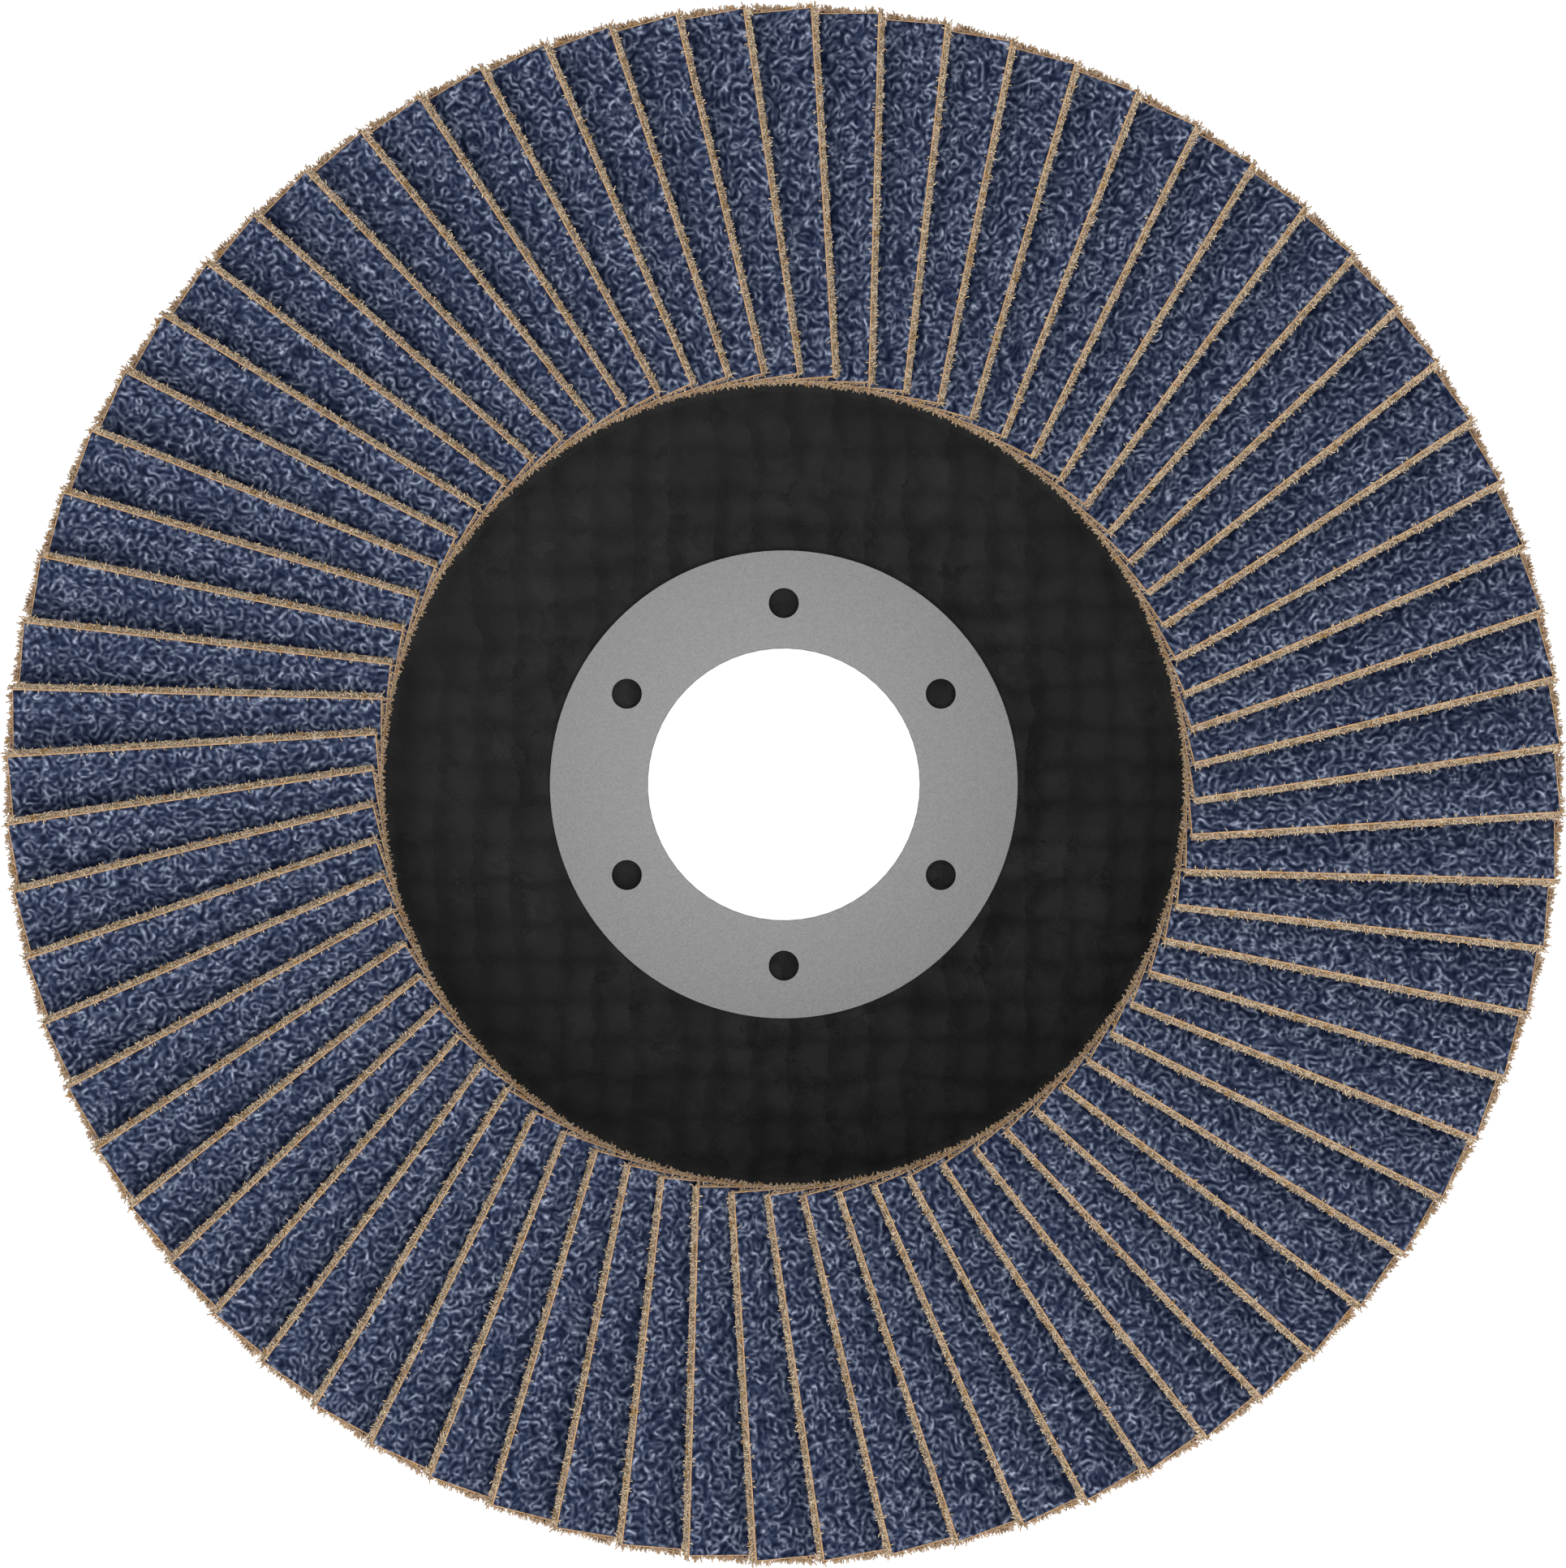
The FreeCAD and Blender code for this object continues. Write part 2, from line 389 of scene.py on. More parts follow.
# %% Short ways to add nodes
class Nodes:
    """Short ways to add and link nodes in one tree."""

    def __init__(self, tree):
        self.tree = tree

    def feed(self, socket, value):
        """A link if the value is a socket, and otherwise the socket's own value."""
        if isinstance(value, bpy.types.NodeSocket):
            self.tree.links.new(value, socket)
        else:
            socket.default_value = value

    def add(self, kind, settings=(), **inputs):
        """A node with its settings and its inputs, by name, or by place as i0, i1 and i2."""
        node = self.tree.nodes.new(kind)
        for label, value in dict(settings).items():
            setattr(node, label, value)
        for label, value in inputs.items():
            by_place = label[1:].isdigit()
            self.feed(node.inputs[int(label[1:]) if by_place else label.replace("_", " ")], value)
        return node

    def object_place(self):
        """Object coordinates, in metres."""
        return self.add("ShaderNodeTexCoord").outputs["Object"]

    def noise(self, place, scale, detail=2.0, roughness=0.5, distortion=0.0):
        """Plain noise from 0 to 1 at this many lumps a metre."""
        settings = {"Scale": scale, "Detail": detail, "Roughness": roughness, "Distortion": distortion}
        return self.add("ShaderNodeTexNoise", Vector=place, **settings).outputs["Fac"]

    def maths(self, operation, first, second=0.0, third=0.0):
        """One arithmetic step."""
        settings = {"operation": operation}
        return self.add("ShaderNodeMath", settings, i0=first, i1=second, i2=third).outputs[0]

    def vector(self, operation, first, **inputs):
        """One step of arithmetic on a vector."""
        return self.add("ShaderNodeVectorMath", {"operation": operation}, i0=first, **inputs).outputs

    def remap(self, value, low, high, to_low=0.0, to_high=1.0, smooth=False):
        """A value's stretch from low to high brought to another one, and held there."""
        kind = "SMOOTHSTEP" if smooth else "LINEAR"
        node = self.add("ShaderNodeMapRange", {"interpolation_type": kind, "clamp": True})
        self.feed(node.inputs["Value"], value)
        labels = ("From Min", "From Max", "To Min", "To Max")
        for label, number in zip(labels, (low, high, to_low, to_high)):
            self.feed(node.inputs[label], number)
        return node.outputs["Result"]

    def moved(self, place, offset):
        """A place shifted by an offset in metres."""
        return self.vector("ADD", place, i1=offset)[0]

    def ramp(self, value, stops):
        """A colour by value, between stops of (place, screen colour)."""
        node = self.add("ShaderNodeValToRGB")
        self.tree.links.new(value, node.inputs["Fac"])
        elements = node.color_ramp.elements
        for element, (place, colour) in zip(elements, (stops[0], stops[-1])):
            element.position = place
            element.color = tone(*colour)
        for place, colour in stops[1:-1]:
            elements.new(place).color = tone(*colour)
        return node.outputs["Color"]

    def mix(self, amount, first, second):
        """A colour between two."""
        node = self.add("ShaderNodeMix", {"data_type": "RGBA", "clamp_factor": True})
        self.feed(node.inputs["Factor"], amount)
        first_colour, second_colour, result = node.inputs[6], node.inputs[7], node.outputs[2]
        self.feed(first_colour, first)
        self.feed(second_colour, second)
        return result

    def bump(self, height, distance):
        """A normal bent by a height between 0 and 1 that stands for this many metres."""
        node = self.add("ShaderNodeBump", Height=height, Distance=distance, Strength=1.0)
        return node.outputs["Normal"]


# %% A new group and a new material
def new_group(name, inputs, outputs):
    """An empty shader node group with float inputs and the outputs given by name and kind."""
    group = bpy.data.node_groups.new(name, "ShaderNodeTree")
    for label, value in inputs.items():
        socket = group.interface.new_socket(label, in_out="INPUT", socket_type="NodeSocketFloat")
        socket.default_value = value
    for label, kind in outputs.items():
        group.interface.new_socket(label, in_out="OUTPUT", socket_type="NodeSocket" + kind)
    return group


def new_material(name, **inputs):
    """A material with one principled shader, its plain inputs set, and the helper for its nodes."""
    material = bpy.data.materials.new(name)
    material.use_nodes = True
    nodes = Nodes(material.node_tree)
    shader = material.node_tree.nodes["Principled BSDF"]
    for label, value in inputs.items():
        shader.inputs[label.replace("_", " ")].default_value = value
    return material, nodes, shader


# %% Group: fine grain
def make_grain_group():
    """A fine, even speckle around one half, for colour, roughness and bump."""
    group = new_group("Fine grain", {"Grains a metre": 8000.0, "Contrast": 1.0}, {"Value": "Float"})
    nodes = Nodes(group)
    given = nodes.add("NodeGroupInput").outputs
    speck = nodes.noise(nodes.object_place(), given["Grains a metre"], detail=3.0, roughness=0.6)
    centred = nodes.maths("SUBTRACT", speck, 0.5)
    value = nodes.maths("MULTIPLY_ADD", centred, given["Contrast"], 0.5)
    nodes.add("NodeGroupOutput", Value=value)
    return group


grain_group = make_grain_group()
FINE = 9000.0


def grain(nodes, density, contrast=1.0):
    """The fine grain, placed in a material with its own density and contrast."""
    node = nodes.add("ShaderNodeGroup", {"node_tree": grain_group})
    node.inputs["Grains a metre"].default_value = density
    node.inputs["Contrast"].default_value = contrast
    return node.outputs["Value"]


# %% Group: thread tint
BROWN_THREAD, CREAM_THREAD = tone(150, 121, 91), tone(255, 237, 204)
ROSY_THREAD, GOLDEN_THREAD = tone(222, 187, 164), tone(196, 151, 78)
PAINTED_SHADE_BETWEEN_THREADS = tone(70, 52, 36)


def make_tint_group():
    """Cotton colours from a number for each thread, with rosy and golden patches over many threads, and
    painted shade between threads by depth.
    """
    group = new_group("Thread tint", {"Tint": 0.5, "Depth": 0.0}, {"Color": "Color"})
    nodes = Nodes(group)
    given = nodes.add("NodeGroupInput").outputs
    colour = nodes.mix(nodes.remap(given["Tint"], 0.0, 0.9), BROWN_THREAD, CREAM_THREAD)
    blush = nodes.remap(nodes.noise(nodes.object_place(), 2600.0, detail=1.0), 0.4, 0.65)
    colour = nodes.mix(nodes.maths("MULTIPLY", blush, 0.5), colour, ROSY_THREAD)
    patch = nodes.remap(nodes.noise(nodes.object_place(), 1300.0, detail=1.0), 0.56, 0.7)
    colour = nodes.mix(nodes.maths("MULTIPLY", patch, 0.7), colour, GOLDEN_THREAD)
    # Depth mixes in painted shade: the dark of the gaps between threads.
    nodes.add("NodeGroupOutput", Color=nodes.mix(given["Depth"], colour, PAINTED_SHADE_BETWEEN_THREADS))
    return group


tint_group = make_tint_group()


def thread_tint(nodes, tint, depth):
    """The threads' colour, placed in a material with its own tint and depth between threads."""
    node = nodes.add("ShaderNodeGroup", {"node_tree": tint_group})
    nodes.tree.links.new(tint, node.inputs["Tint"])
    nodes.tree.links.new(depth, node.inputs["Depth"])
    return node.outputs["Color"]


# %% [markdown]
# Grit.
# The coat is grain set in navy resin. Its crests show as soft curly ridges, paler and greyer than the
# hollows, partly the grain's own colour and partly painted light on the crests and painted shade in the
# hollows. A ridge can be drawn where a soft noise crosses its middle value, but then it is broad where
# the noise is flat and thin where it is steep. Dividing the value by its slope, which two
# more looks at the noise a short step aside give, makes the ridge the same width everywhere. Two such
# families of ridges, each with a strength that comes and goes, are added up to the height of the grain,
# which colours it. A bump looks at its input three times over, so it gets the same lines from the plain
# noise, which is much quicker to draw.

# %% Group: curly ridges
SLOPE_STEP = 0.03 * MM
LEAST_RISE = 0.004
RIDGE_INPUTS = {
    "Lumps a metre": 2000.0,
    "Half width": 0.2 * MM,
    "Aside": 0.0,
    "Faintest": 0.2,
    "Strongest": 1.0,
}


def make_ridge_group():
    """Ridges of even width along the middle value of a noise, 0 in the hollows and 1 on the crest."""
    group = new_group("Curly ridges", RIDGE_INPUTS, {"Height": "Float", "Relief": "Float"})
    nodes = Nodes(group)
    given = nodes.add("NodeGroupInput").outputs
    aside = nodes.add("ShaderNodeCombineXYZ", X=given["Aside"], Y=given["Aside"]).outputs[0]
    place = nodes.moved(nodes.object_place(), aside)

    def from_middle(offset):
        """The noise less its middle value, at an offset from here."""
        looked = nodes.noise(nodes.moved(place, offset), given["Lumps a metre"], detail=0.0)
        return nodes.maths("SUBTRACT", looked, 0.5)

    here = from_middle((0, 0, 0))
    rise_x = nodes.maths("SUBTRACT", from_middle((SLOPE_STEP, 0, 0)), here)
    rise_y = nodes.maths("SUBTRACT", from_middle((0, SLOPE_STEP, 0)), here)
    squares = nodes.maths("MULTIPLY_ADD", rise_x, rise_x, nodes.maths("MULTIPLY", rise_y, rise_y))
    rise = nodes.maths("MAXIMUM", nodes.maths("SQRT", squares), LEAST_RISE)
    steps = nodes.maths("DIVIDE", nodes.maths("ABSOLUTE", here), rise)
    distance = nodes.maths("MULTIPLY", steps, SLOPE_STEP)
    share = nodes.maths("DIVIDE", distance, given["Half width"])
    flank = nodes.remap(share, 0.0, 1.0, 1.0, 0.0)
    ridge = nodes.maths("MULTIPLY", flank, flank)
    swell = nodes.remap(nodes.noise(place, 1500.0, detail=0.0), 0.3, 0.7)
    reach = nodes.maths("SUBTRACT", given["Strongest"], given["Faintest"])
    strength = nodes.maths("MULTIPLY_ADD", swell, reach, given["Faintest"])
    relief = nodes.remap(nodes.maths("ABSOLUTE", here), 0.16, 0.0, smooth=True)
    nodes.add("NodeGroupOutput", Height=nodes.maths("MULTIPLY", ridge, strength), Relief=relief)
    return group


ridge_group = make_ridge_group()


def ridges(nodes, density, half_width, aside, faintest, strongest):
    """One family of ridges, placed in a material with its own size and strength."""
    node = nodes.add("ShaderNodeGroup", {"node_tree": ridge_group})
    for socket, value in zip(node.inputs, (density, half_width, aside, faintest, strongest)):
        socket.default_value = value
    return node.outputs


# %% Material: grit
GRIT_TONES = (
    (0.0, (12, 21, 43)),
    (0.27, (38, 48, 74)),
    (0.42, (60, 69, 92)),
    (0.58, (88, 97, 119)),
    (0.79, (133, 142, 164)),
    (1.0, (182, 191, 210)),
)


def make_grit():
    """Navy hollows and pale, curly crests: partly their own colour, partly painted light and shade of the
    relief.
    """
    material, nodes, shader = new_material("zirconia_grit", Roughness=0.6, Specular_IOR_Level=0.07)
    wide = ridges(nodes, density=1300.0, half_width=0.60 * MM, aside=0.0, faintest=0.30, strongest=0.58)
    narrow = ridges(nodes, density=1620.0, half_width=0.56 * MM, aside=0.013, faintest=0.16, strongest=0.45)
    height = nodes.maths("ADD", wide["Height"], narrow["Height"])
    relief = nodes.maths("ADD", wide["Relief"], narrow["Relief"])
    # The ramp paints crests paler and hollows darker: partly the grain's own colour, partly painted light
    # and shade.
    nodes.tree.links.new(nodes.ramp(height, GRIT_TONES), shader.inputs["Base Color"])
    nodes.tree.links.new(nodes.remap(height, 0.0, 1.0, 0.7, 0.5), shader.inputs["Roughness"])
    nodes.tree.links.new(nodes.bump(relief, 0.01 * MM), shader.inputs["Normal"])
    return material


# %% Material: clean line, cut threads and cloth back
def make_line():
    """The clean line along the top of a cut."""
    material, nodes, shader = new_material("cut_line", Roughness=0.8, Specular_IOR_Level=0.2)
    cloud = nodes.remap(nodes.noise(nodes.object_place(), 2500.0), 0.35, 0.65)
    colour = nodes.mix(cloud, tone(172, 136, 97), tone(211, 172, 129))
    nodes.tree.links.new(colour, shader.inputs["Base Color"])
    nodes.tree.links.new(nodes.bump(grain(nodes, FINE), 0.02 * MM), shader.inputs["Normal"])
    return material


def make_cut():
    """The cut face and its threads: pale at a thread's end, with painted shade at its foot and between the
    curls.
    """
    material, nodes, shader = new_material("cut_threads", Roughness=0.9, Specular_IOR_Level=0.2)
    reach = nodes.add("ShaderNodeAttribute", {"attribute_name": "reach"}).outputs["Fac"]
    tint = nodes.add("ShaderNodeAttribute", {"attribute_name": "tint"}).outputs["Fac"]
    curls = ridges(nodes, density=3400.0, half_width=0.20 * MM, aside=0.0, faintest=0.7, strongest=1.3)
    # Painted shade: dark at a thread's foot and in the gaps between the curls on the cut face.
    lit = nodes.maths("MAXIMUM", nodes.remap(reach, 0.0, 0.3, 0.2, 1.0), curls["Height"])
    depth = nodes.maths("SUBTRACT", 1.0, lit)
    nodes.tree.links.new(thread_tint(nodes, tint, depth), shader.inputs["Base Color"])
    nodes.tree.links.new(nodes.bump(grain(nodes, FINE), 0.03 * MM), shader.inputs["Normal"])
    return material


def make_back():
    """The plain weave of the cloth's back, which follows the flap's own map."""
    material, nodes, shader = new_material("cloth_back", Roughness=0.85)
    place = nodes.add("ShaderNodeUVMap", {"uv_map": "weave"}).outputs["UV"]
    threads = []
    for direction in ("X", "Y"):
        wave = nodes.add("ShaderNodeTexWave", {"bands_direction": direction}, Vector=place, Scale=1.0)
        threads.append(wave.outputs["Fac"])
    height = nodes.maths("MAXIMUM", *threads)
    tint = nodes.noise(nodes.object_place(), 2500.0)
    # Painted shade in the gaps between the back's threads, where the weave is low.
    colour = thread_tint(nodes, tint, nodes.remap(height, 0.0, 0.8, 0.8, 0.0))
    nodes.tree.links.new(colour, shader.inputs["Base Color"])
    nodes.tree.links.new(nodes.bump(height, 0.08 * MM), shader.inputs["Normal"])
    return material


flap_materials = [make_grit(), make_line(), make_cut(), make_back()]
print("flap materials", [material.name for material in flap_materials])

# %% [markdown]
# The fan.
# Modelling seventy-two fringes by hand would take long and make no difference to the eye, so a few
# flaps with different seeds are made once and set round the disc in turn. Each copy gets its place in
# its mesh.

# %% Flaps
VARIANTS = 6
BODY_TINT = 0.5
BACK_THREAD_PITCH = 0.45 * MM


def make_variant(seed):
    """The mesh of one flap, lying flat."""
    bm = bmesh.new()
    _, tint = add_layers(bm)
    flap_body(bm, seed)
    for vert in bm.verts:
        vert[tint] = BODY_TINT
    flap_fringes(bm, seed)
    flat_map = bm.loops.layers.uv.new("weave")
    for face in bm.faces:
        for loop in face.loops:
            loop[flat_map].uv = loop.vert.co.xy / BACK_THREAD_PITCH
    mesh = bpy.data.meshes.new("flap_variant_%d" % seed)
    bm.to_mesh(mesh)
    bm.free()
    for material in flap_materials:
        mesh.materials.append(material)
    return mesh


def place_flap(index, variant):
    """One flap at its place, standing for its half of a packed pair."""
    mesh = variant.copy()
    mesh.transform(seat_matrix(FIRST_FLAP_ANGLE + index * pitch_angle))
    flap = bpy.data.objects.new("flap_%02d" % (index + 1), mesh)
    bpy.context.scene.collection.objects.link(flap)
    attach(flap, "root")
    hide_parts("flap_pair_%02d" % (index // 2 + 1))
    return flap


variants = [make_variant(seed) for seed in range(VARIANTS)]
flaps = [place_flap(index, variants[index % VARIANTS]) for index in range(FLAP_COUNT)]
triangles = [sum(len(face.vertices) - 2 for face in flap.data.polygons) for flap in flaps]
print(len(flaps), "flaps,", triangles[0], "triangles each,", sum(triangles), "in all")


# %% [markdown]
# Plate, ring and resin.
# The plate is pressed glass cloth under a film of black resin. The cloth's coarse weave shows as small
# pillows between soft grooves that lie askew in places, and some pillows sink on one side where a yarn
# laps over them. The film is a little thicker on some pillows than on others, and here and there it has
# crinkled into folds with one sharp side, as the fraction of a climbing noise has. A bump alone hardly
# shows on black under a white sky, so the same height also sets the tone as painted shade, darker in the
# grooves, and a second look at it a short step aside tells which flank of a pillow is turned to the upper
# left and gets a painted highlight. The ring is bare rolled steel with a very fine grain. Both get a
# painted sheen that makes them a touch paler towards the upper left, and the plate gets painted light
# that lifts its shade towards the flaps and beside the ring. The resin is dark and glossy.

# %% Grooves, laps and folds of the plate
WEAVE_PITCH = 3.2 * MM
WEAVE_BEND = 3.6 * MM
GROOVE_SHARPNESS = 2.6
GROOVE_PHASE = 0.25
GROOVE_DEPTHS = (("X", 0.45), ("Y", 0.55))
LAP_SHARPNESS = 2.2
FILM_FOLDS = 5.0
PILLOW_SHARE, CRINKLE_SHARE = 0.6, 0.4


def bent_place(nodes, place):
    """A place moved about by a broad noise, so that the weave lies askew."""
    bend = nodes.add("ShaderNodeTexNoise", Vector=place, Scale=210.0, Detail=5.0, Roughness=0.62)
    shift = nodes.vector("SCALE", bend.outputs["Color"], Scale=WEAVE_BEND)[0]
    return nodes.moved(place, shift)


def grooves(nodes, bent):
    """One on a pillow and less in the grooves that cross between the yarns."""
    kept = 1.0
    for direction, depth in GROOVE_DEPTHS:
        settings = {"bands_direction": direction, "wave_profile": "SIN"}
        wave = nodes.add("ShaderNodeTexWave", settings, Vector=bent, Scale=math.pi / 10 / WEAVE_PITCH)
        trough = nodes.maths("SUBTRACT", 1.0, wave.outputs["Fac"])
        groove = nodes.maths("POWER", trough, GROOVE_SHARPNESS)
        kept = nodes.maths("MULTIPLY", kept, nodes.maths("MULTIPLY_ADD", groove, -depth, 1.0))
    return kept


def laps(nodes, place, counted):
    """One over most of a pillow and less at its left side, here more and there hardly."""
    within = nodes.vector("FRACTION", counted)[0]
    across = nodes.add("ShaderNodeSeparateXYZ", Vector=within).outputs["X"]
    lap = nodes.maths("POWER", nodes.maths("SUBTRACT", 1.0, across), LAP_SHARPNESS)
    amount = nodes.remap(nodes.noise(place, 170.0, detail=1.0), 0.38, 0.62, 0.1, 0.75)
    return nodes.maths("SUBTRACT", 1.0, nodes.maths("MULTIPLY", lap, amount))


def folds(nodes, place):
    """Sharp-sided folds of the film, strong in some places and faint in others."""
    film = nodes.noise(place, 280.0, detail=4.0, roughness=0.6, distortion=0.2)
    fold = nodes.maths("FRACT", nodes.maths("MULTIPLY", film, FILM_FOLDS))
    amount = nodes.remap(nodes.noise(place, 200.0, detail=1.0), 0.36, 0.56, 0.1, 1.0)
    return nodes.maths("MULTIPLY", fold, amount)


# %% Group: woven pillows
def make_weave_group():
    """The weave under its film: a height, and a number that differs from pillow to pillow."""
    group = new_group("Woven pillows", {"Aside": 0.0}, {"Height": "Float", "Pillow": "Float"})
    nodes = Nodes(group)
    given = nodes.add("NodeGroupInput").outputs
    back = nodes.maths("MULTIPLY", given["Aside"], -1.0)
    aside = nodes.add("ShaderNodeCombineXYZ", X=given["Aside"], Y=back).outputs[0]
    place = nodes.moved(nodes.object_place(), aside)
    bent = bent_place(nodes, place)
    counted = nodes.moved(nodes.vector("SCALE", bent, Scale=1 / WEAVE_PITCH)[0], (GROOVE_PHASE,) * 3)
    pillow = nodes.maths("MULTIPLY", grooves(nodes, bent), laps(nodes, place, counted))
    crinkle = nodes.maths("MULTIPLY", folds(nodes, place), CRINKLE_SHARE)
    height = nodes.maths("MULTIPLY_ADD", pillow, PILLOW_SHARE, crinkle)
    whole = nodes.vector("FLOOR", counted)[0]
    own = nodes.add("ShaderNodeTexWhiteNoise", {"noise_dimensions": "3D"}, Vector=whole)
    nodes.add("NodeGroupOutput", Height=height, Pillow=own.outputs["Value"])
    return group


weave_group = make_weave_group()


def woven(nodes, aside):
    """The weave's height and its number for each pillow, looked up this far towards the lower right."""
    node = nodes.add("ShaderNodeGroup", {"node_tree": weave_group})
    node.inputs["Aside"].default_value = aside
    return node.outputs


# %% Where a point lies on the disc
# How much the painted sheen lifts the upper left and darkens the lower right.
PAINTED_SHEEN_AMOUNT = 0.13


def distance_from_axis(nodes):
    """Distance from the bore's axis."""
    flat = nodes.vector("MULTIPLY", nodes.object_place(), i1=(1, 1, 0))[0]
    return nodes.vector("LENGTH", flat)["Value"]


def painted_sheen_upper_left(nodes, reach, amount):
    """Painted sheen: a small addition to a tone that falls from the upper left to the lower right."""
    side = nodes.vector("DOT_PRODUCT", nodes.object_place(), i1=(0.707, -0.707, 0))["Value"]
    return nodes.remap(side, -reach, reach, amount, -amount)


# %% Material: pressed plate
# The step for the painted highlight on the pillows' flanks that face the upper left.
FLANK_STEP = 0.22 * MM
PLATE_DARKEST, PLATE_PALEST = grey(7), grey(52)
PLATE_LEVEL = -0.67
PLATE_SIDE_REACH = 30.0 * MM
# Painted light that lifts the shade the flaps' wall casts on the outer plate.
PAINTED_LIGHT_TOWARDS_FLAPS = (21.0 * MM, 29.0 * MM, 0.0, 0.2)
RING_EDGE = (18.0 * MM, 19.0 * MM)
# Painted light that lifts the contact shade on the plate beside the ring.
PAINTED_LIGHT_BESIDE_RING = (19.0 * MM, 19.8 * MM, 0.25, 0.0)


def plate_weave_value(nodes, height, pillow, cloud):
    """A tone from the weave's height as painted shade in the grooves, a painted highlight on the flanks
    that face the upper left, the film's thickness and the grain.
    """
    # Painted highlight: where the weave rises towards the lower right, its flank faces the upper left and
    # is made paler.
    flank = nodes.maths("SUBTRACT", woven(nodes, FLANK_STEP)["Height"], height)
    # Painted shade: the grooves, low in height, are made darker.
    value = nodes.maths("MULTIPLY_ADD", height, 0.5, nodes.maths("MULTIPLY", flank, 0.5))
    value = nodes.maths("MULTIPLY_ADD", nodes.maths("MULTIPLY", height, pillow), 0.12, value)
    value = nodes.maths("MULTIPLY_ADD", cloud, 0.45, value)
    return nodes.maths("MULTIPLY_ADD", grain(nodes, FINE), 1.0, value)


def plate_place_value(nodes):
    """A tone from the place on the plate: a painted sheen paler to the upper left, and painted light that
    lifts the shade towards the flaps and by the ring.
    """
    radius = distance_from_axis(nodes)
    side = painted_sheen_upper_left(nodes, PLATE_SIDE_REACH, PAINTED_SHEEN_AMOUNT)
    value = nodes.maths("ADD", side, nodes.remap(radius, *PAINTED_LIGHT_TOWARDS_FLAPS))
    outside = nodes.remap(radius, *RING_EDGE)
    return nodes.maths("MULTIPLY_ADD", outside, nodes.remap(radius, *PAINTED_LIGHT_BESIDE_RING), value)


def make_plate_material():
    """Black film over glass cloth."""
    material, nodes, shader = new_material("pressed_plate", Roughness=0.65, Specular_IOR_Level=0.1)
    here = woven(nodes, 0.0)
    cloud = nodes.noise(nodes.object_place(), 520.0, detail=4.0, roughness=0.65)
    value = plate_weave_value(nodes, here["Height"], here["Pillow"], cloud)
    value = nodes.maths("ADD", value, PLATE_LEVEL)
    value = nodes.maths("ADD", value, plate_place_value(nodes))
    nodes.tree.links.new(nodes.mix(value, PLATE_DARKEST, PLATE_PALEST), shader.inputs["Base Color"])
    nodes.tree.links.new(nodes.remap(cloud, 0.3, 0.7, 0.55, 0.75), shader.inputs["Roughness"])
    nodes.tree.links.new(nodes.bump(here["Height"], 0.08 * MM), shader.inputs["Normal"])
    return material


# %% Materials: ring steel and cured resin
RING_SIDE_REACH = 19.0 * MM


def make_ring_material():
    """Bare rolled steel, a touch darker towards its outer edge."""
    material, nodes, shader = new_material("ring_steel", Roughness=0.5, Metallic=0.6)
    speck = nodes.remap(grain(nodes, FINE, 1.3), 0.1, 0.9)
    # Painted sheen: the steel is made a touch paler towards the upper left.
    value = nodes.maths("ADD", speck, painted_sheen_upper_left(nodes, RING_SIDE_REACH, PAINTED_SHEEN_AMOUNT))
    outward = nodes.remap(distance_from_axis(nodes), bore_radius, ring_high.x)
    inner_tone = nodes.mix(value, grey(124), grey(164))
    outer_tone = nodes.mix(value, grey(118), grey(158))
    nodes.tree.links.new(nodes.mix(outward, inner_tone, outer_tone), shader.inputs["Base Color"])
    nodes.tree.links.new(nodes.remap(speck, 0.0, 1.0, 0.42, 0.6), shader.inputs["Roughness"])
    nodes.tree.links.new(nodes.bump(speck, 0.004 * MM), shader.inputs["Normal"])
    return material


def make_resin_material():
    """Dark brown resin with a gloss."""
    material, nodes, shader = new_material("cured_resin", Roughness=0.3)
    cloud = nodes.remap(nodes.noise(nodes.object_place(), 300.0), 0.3, 0.7)
    colour = nodes.mix(cloud, tone(48, 34, 24), tone(74, 52, 36))
    nodes.tree.links.new(colour, shader.inputs["Base Color"])
    return material


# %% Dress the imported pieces
for node_name, material in (
    ("backing_plate", make_plate_material()),
    ("centre_ring", make_ring_material()),
    ("adhesive_bed", make_resin_material()),
):
    slots = frame["nodes"][node_name].data.materials
    slots.clear()
    slots.append(material)
    print(node_name, "wears", material.name)

# %% [markdown]
# Floor and light.
# The disc lies on its back on a white table. A lit white floor would show a soft shadow at the rim and
# in the bore, and a much brighter one would eat into their edges. So the floor reflects little and
# glows with just the white of the screen, and the ground stays even and the edges clean, as on a
# photographer's light table. The sky is even and white, which shades the strips under the flaps' edges.
# One large soft lamp at the foot of the picture gives a slight direction: in the photograph the cut
# edges that face that way are the palest.

# %% Floor
FLOOR_HALF_SIDE = 3.0
FLOOR_DROP = 0.02 * MM
FLOOR_COLOUR = (0.1, 0.1, 0.1, 1)
FLOOR_GLOW = (1, 1, 1, 1)


def make_floor():
    """The table under the disc, which is the stage and no part of it."""
    bm = bmesh.new()
    placed = Matrix.Translation((0, 0, cad_low.z - FLOOR_DROP))
    bmesh.ops.create_grid(bm, x_segments=1, y_segments=1, size=FLOOR_HALF_SIDE, matrix=placed)
    mesh = bpy.data.meshes.new("floor")
    bm.to_mesh(mesh)
    bm.free()
    floor = bpy.data.objects.new("floor", mesh)
    bpy.context.scene.collection.objects.link(floor)
    material, _, shader = new_material("white_table", Roughness=0.9, Emission_Strength=1.0)
    shader.inputs["Base Color"].default_value = FLOOR_COLOUR
    shader.inputs["Emission Color"].default_value = FLOOR_GLOW
    mesh.materials.append(material)


make_floor()

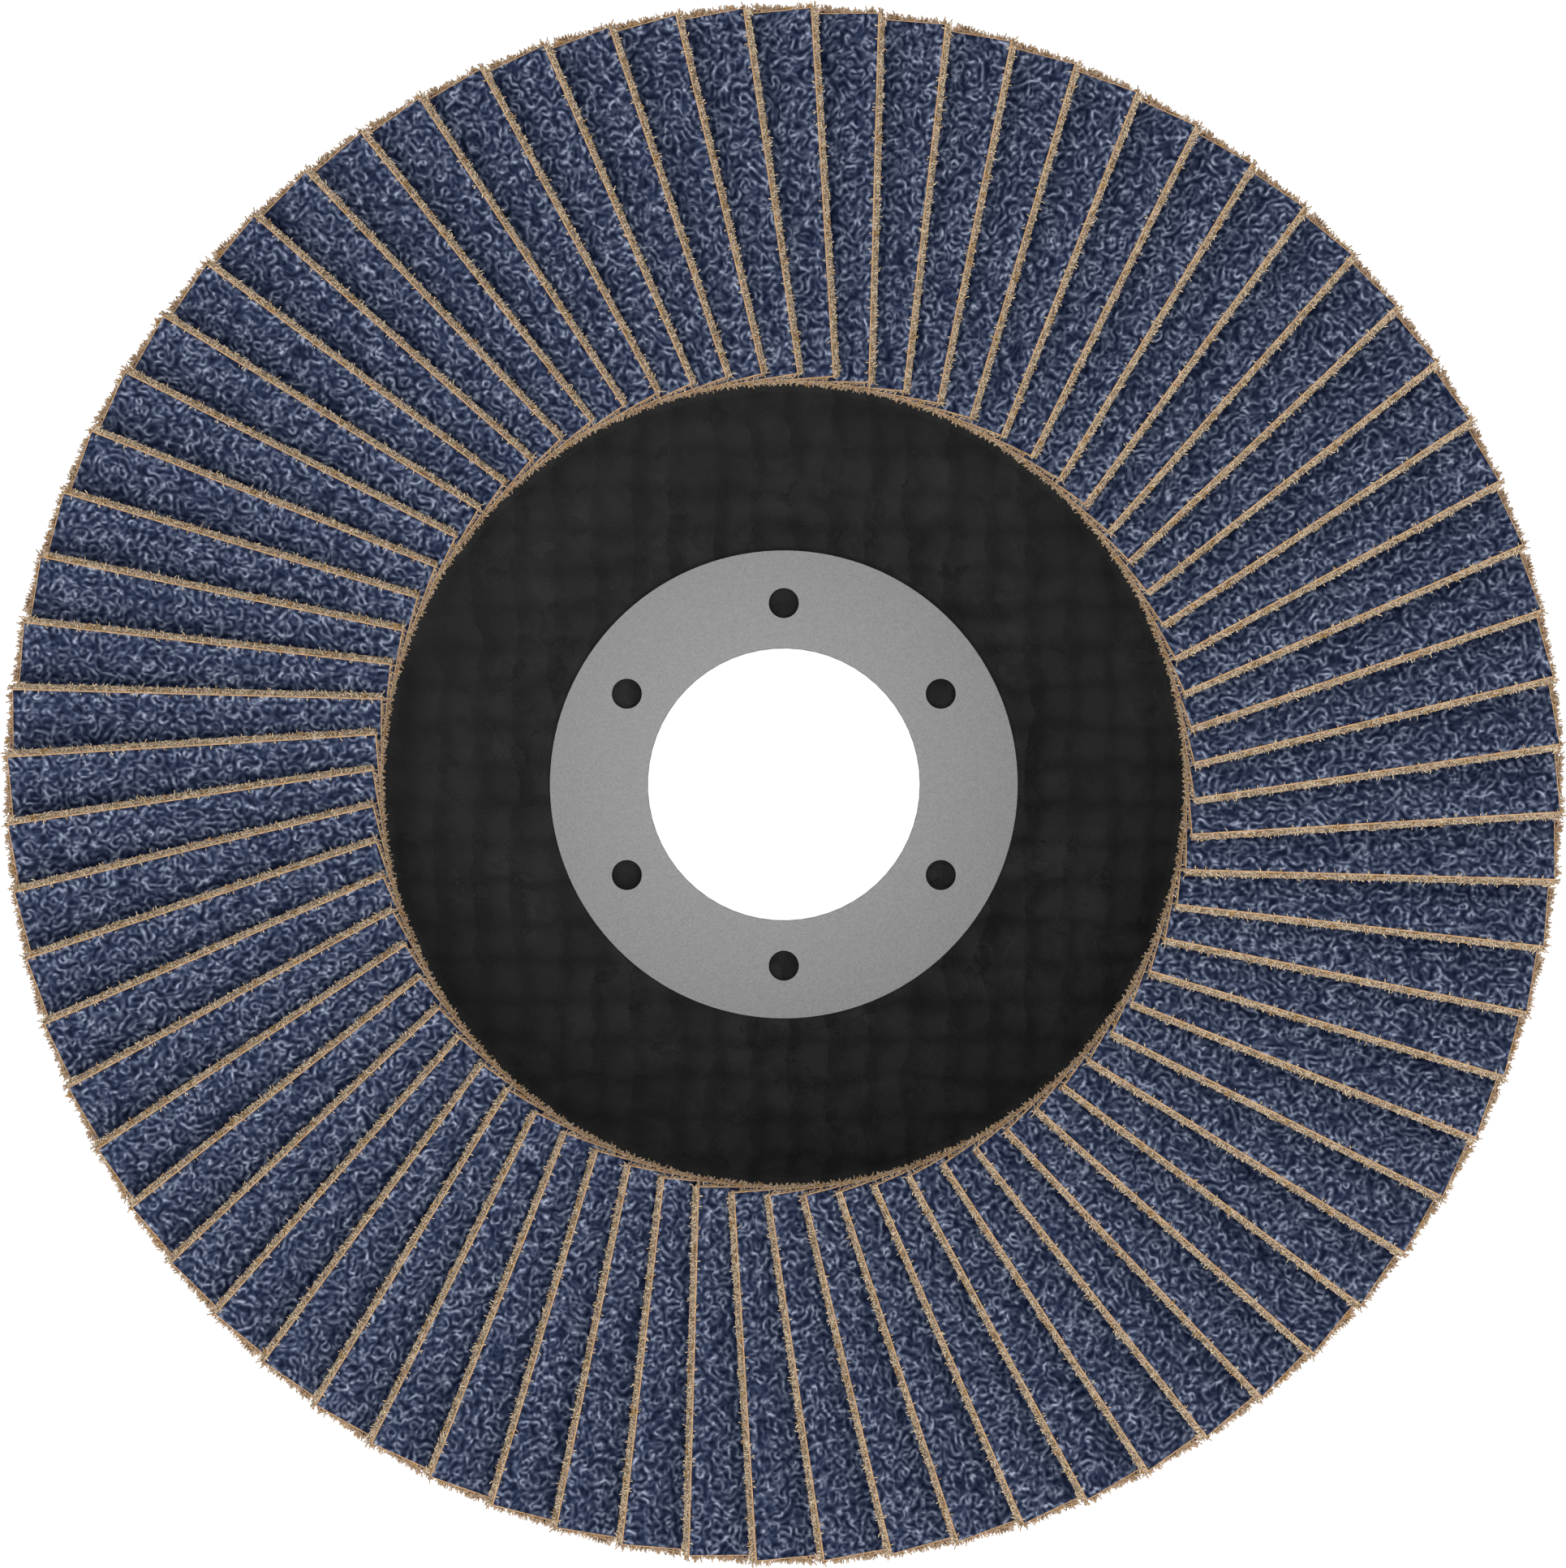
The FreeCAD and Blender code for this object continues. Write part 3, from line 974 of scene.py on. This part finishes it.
# %% Sky and key light
SKY_COLOUR = (1, 1, 1, 1)
SKY_STRENGTH = 0.95
KEY_ENERGY = 6.0
KEY_SIDE = 0.8
KEY_DISTANCE = 1.4
KEY_AZIMUTH = math.radians(-90)
KEY_HEIGHT = math.radians(50)

scene = bpy.context.scene
world = bpy.data.worlds.new("white_tent")
scene.world = world
world.use_nodes = True
sky = world.node_tree.nodes["Background"]
sky.inputs["Color"].default_value = SKY_COLOUR
sky.inputs["Strength"].default_value = SKY_STRENGTH

lamp = bpy.data.lights.new("key", "AREA")
lamp.energy = KEY_ENERGY
lamp.size = KEY_SIDE
key = bpy.data.objects.new("key", lamp)
scene.collection.objects.link(key)
towards_key = Vector((
    math.cos(KEY_HEIGHT) * math.cos(KEY_AZIMUTH),
    math.cos(KEY_HEIGHT) * math.sin(KEY_AZIMUTH),
    math.sin(KEY_HEIGHT),
))
key.location = towards_key * KEY_DISTANCE
key.rotation_mode = "QUATERNION"
key.rotation_quaternion = towards_key.to_track_quat("Z", "Y")
scene.view_settings.view_transform = "Standard"
print("sky", SKY_STRENGTH, "and key", KEY_ENERGY, "W")

# %% [markdown]
# Camera.
# The photograph looks straight down the bore. Its scale is known twice: the bore at the height of the
# ring, and the flaps' outer corners at the height of their tops. The nearer corners are a little
# larger, and from that the camera's height follows, and from the height its focal length.

# %% Camera
IMAGE_WIDTH = 1930
IMAGE_CENTRE = (965.0, 966.0)
BORE_CENTRE = (966.0, 966.5)
BORE_RADIUS_PIXELS = 168.0
CORNER_RADIUS_PIXELS = 957.5
SENSOR_WIDTH_MM = 36.0

corner_radius = math.hypot(FLAP_REACH, FREE_EDGE_OFFSET)
ring_scale = BORE_RADIUS_PIXELS / bore_radius
corner_scale = CORNER_RADIUS_PIXELS / corner_radius
camera_height = (corner_scale * cad_high.z - ring_scale * ring_high.z) / (corner_scale - ring_scale)
focal_pixels = ring_scale * (camera_height - ring_high.z)

lens = bpy.data.cameras.new("camera")
lens.sensor_width = SENSOR_WIDTH_MM
lens.lens = focal_pixels / IMAGE_WIDTH * SENSOR_WIDTH_MM
lens.shift_x = (IMAGE_CENTRE[0] - BORE_CENTRE[0]) / IMAGE_WIDTH
lens.shift_y = (BORE_CENTRE[1] - IMAGE_CENTRE[1]) / IMAGE_WIDTH
lens.clip_start = 0.05
camera = bpy.data.objects.new("camera", lens)
camera.location = (0, 0, camera_height)
scene.collection.objects.link(camera)
scene.camera = camera
print("camera", round(camera_height, 3), "m up,", round(lens.lens, 1), "mm lens")
